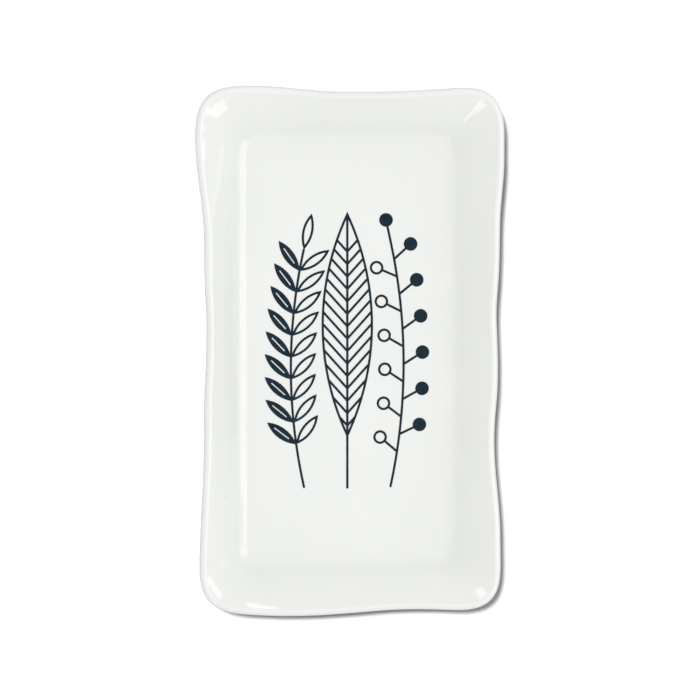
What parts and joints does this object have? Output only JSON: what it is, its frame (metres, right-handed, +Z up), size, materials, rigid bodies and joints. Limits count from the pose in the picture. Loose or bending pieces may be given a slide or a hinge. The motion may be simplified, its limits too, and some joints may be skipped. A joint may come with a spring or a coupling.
{
  "type": "rectangular plate",
  "caption": "Rectangular glazed stoneware plate with a hand-waved rolled rim, a deep flat well, a bare foot ring and a navy leaf print, for serving food.",
  "frame": {"origin": "on the table plane, under the middle of the plate's overall length and width", "axes": "+X across the plate's width, +Y along its length, +Z up out of the well"},
  "size_m": [0.1484, 0.254, 0.024],
  "materials": {
    "bare_clay": "unglazed fired stoneware, fine and matte",
    "white_glaze": "glossy white glaze",
    "navy_ink": "fired navy transfer, glossy"
  },
  "bodies": {
    "root": {"clay_body": "bare_clay", "foot_ring": "bare_clay", "glaze_coat": "white_glaze", "base_glaze": "white_glaze", "slim_leaf_print": "navy_ink", "veined_leaf_print": "navy_ink", "berry_sprig_print": "navy_ink"}
  },
  "joints": []
}
